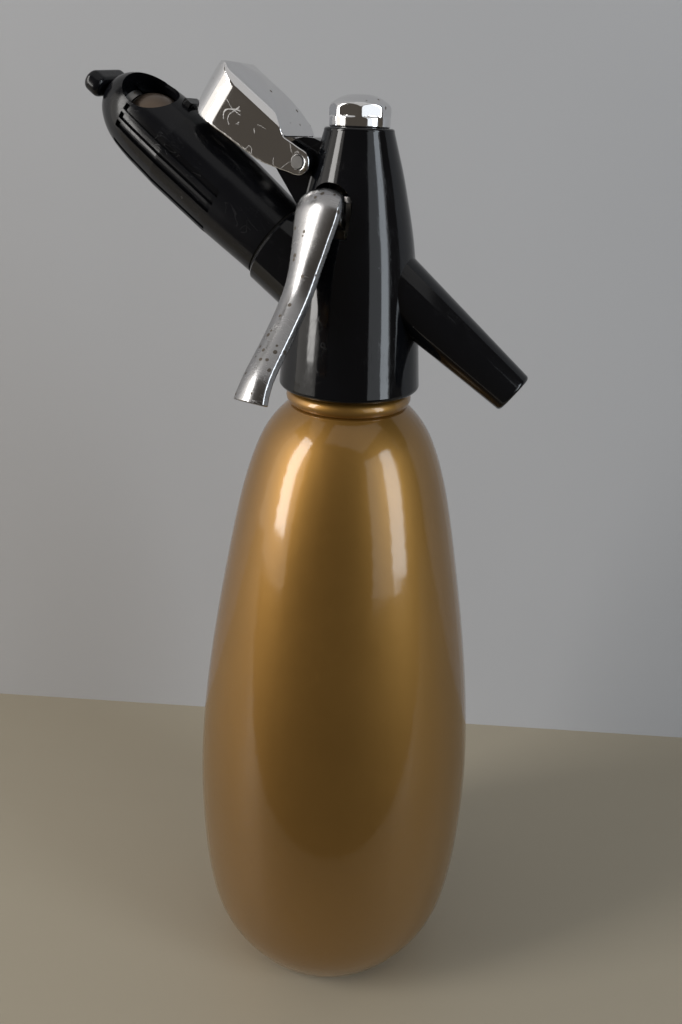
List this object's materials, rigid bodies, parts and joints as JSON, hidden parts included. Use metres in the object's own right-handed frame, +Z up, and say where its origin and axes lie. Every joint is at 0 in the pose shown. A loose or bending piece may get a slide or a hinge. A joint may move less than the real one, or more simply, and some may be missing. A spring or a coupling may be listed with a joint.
{
  "type": "soda siphon",
  "caption": "Counter-top soda siphon: tapered metal bottle, screw-on head with sloping spout, trigger lever, angled charger holder with thumb screw and hinged hood.",
  "frame": {"origin": "middle of the flat foot, on the bottle's axis", "axes": "+Z up along the bottle axis, +X towards the spout, -X towards the charger holder"},
  "size_m": [0.1379, 0.0978, 0.3106],
  "materials": {
    "gold_paint": "gold metallic lacquer under clear coat",
    "black_plastic": "glossy moulded black",
    "chrome": "chrome plated, lightly pitted",
    "brass_plain": "plain turned brass",
    "brass_plated": "nickel plated",
    "steel": "plain steel",
    "charger_steel": "lacquered steel",
    "rubber_black": "soft black",
    "white_plastic": "matt off-white"
  },
  "bodies": {
    "bottle": {"bottle": "gold_paint", "bottle_base": "gold_paint"},
    "neck_ring": {"neck_washer": "rubber_black"},
    "head": {"casing": "black_plastic", "valve_body": "brass_plated", "dip_tube": "white_plastic", "dip_nut": "brass_plain", "gland_nut": "brass_plain", "stem_seal": "rubber_black", "valve_spring": "steel", "yoke": "brass_plated", "top_cap": "chrome", "lever_pin": "steel", "spout": "black_plastic", "spout_seal": "rubber_black", "holder_collar": "black_plastic", "piercing_pin": "steel", "check_valve": "rubber_black", "charger_seal": "rubber_black", "charger": "charger_steel", "hood_pin": "steel"},
    "valve": {"valve_stem": "steel", "valve_plug": "rubber_black"},
    "lever": {"lever": "chrome"},
    "hood": {"hood": "chrome"},
    "holder_ring": {"holder_washer": "rubber_black"},
    "holder": {"holder_sleeve": "black_plastic"},
    "pad": {"pressure_pad": "steel"},
    "screw": {"thumb_screw": "black_plastic"}
  },
  "joints": [
    {"name": "head_lift", "type": "slide", "parent": "bottle", "child": "neck_ring", "axis": [0, 0, 1], "range_m": [0, 0.0075]},
    {"name": "head_turn", "type": "hinge", "parent": "neck_ring", "child": "head", "pos_m": [0, 0, 0.23], "axis": [0, 0, 1], "range_deg": [0, 900]},
    {"name": "lever_squeeze", "type": "hinge", "parent": "head", "child": "lever", "pos_m": [-0.00261, -0.01048, 0.272], "axis": [0.9703, -0.2419, 0], "range_deg": [0, 9], "stiffness_Nm_per_rad": 0.34, "springref_deg": -26.87},
    {"name": "valve_lift", "type": "slide", "parent": "head", "child": "valve", "axis": [0, 0, 1], "range_m": [0, 0.00167], "deforming": ["valve_spring"]},
    {"name": "hood_open", "type": "hinge", "parent": "head", "child": "hood", "pos_m": [-0.0135, 0, 0.2857], "axis": [0, 1, 0], "range_deg": [0, 40]},
    {"name": "holder_out", "type": "slide", "parent": "head", "child": "holder_ring", "axis": [-0.8039, 0, 0.5948], "range_m": [0, 0.006]},
    {"name": "holder_turn", "type": "hinge", "parent": "holder_ring", "child": "holder", "pos_m": [0, 0, 0.2449], "axis": [-0.8039, 0, 0.5948], "range_deg": [0, 1080]},
    {"name": "pad_out", "type": "slide", "parent": "holder", "child": "pad", "axis": [-0.8039, 0, 0.5948], "range_m": [0, 0.0018]},
    {"name": "screw_turn", "type": "hinge", "parent": "pad", "child": "screw", "pos_m": [0, 0, 0.2449], "axis": [-0.8039, 0, 0.5948], "range_deg": [0, 648]}
  ],
  "couplings": [
    {"joint": "head_turn", "follows": "head_lift", "rad_per_m": 2094.4},
    {"joint": "lever_squeeze", "follows": "valve_lift", "rad_per_m": 93.835},
    {"joint": "holder_turn", "follows": "holder_out", "rad_per_m": 3141.6},
    {"joint": "screw_turn", "follows": "pad_out", "rad_per_m": 6283.2}
  ]
}
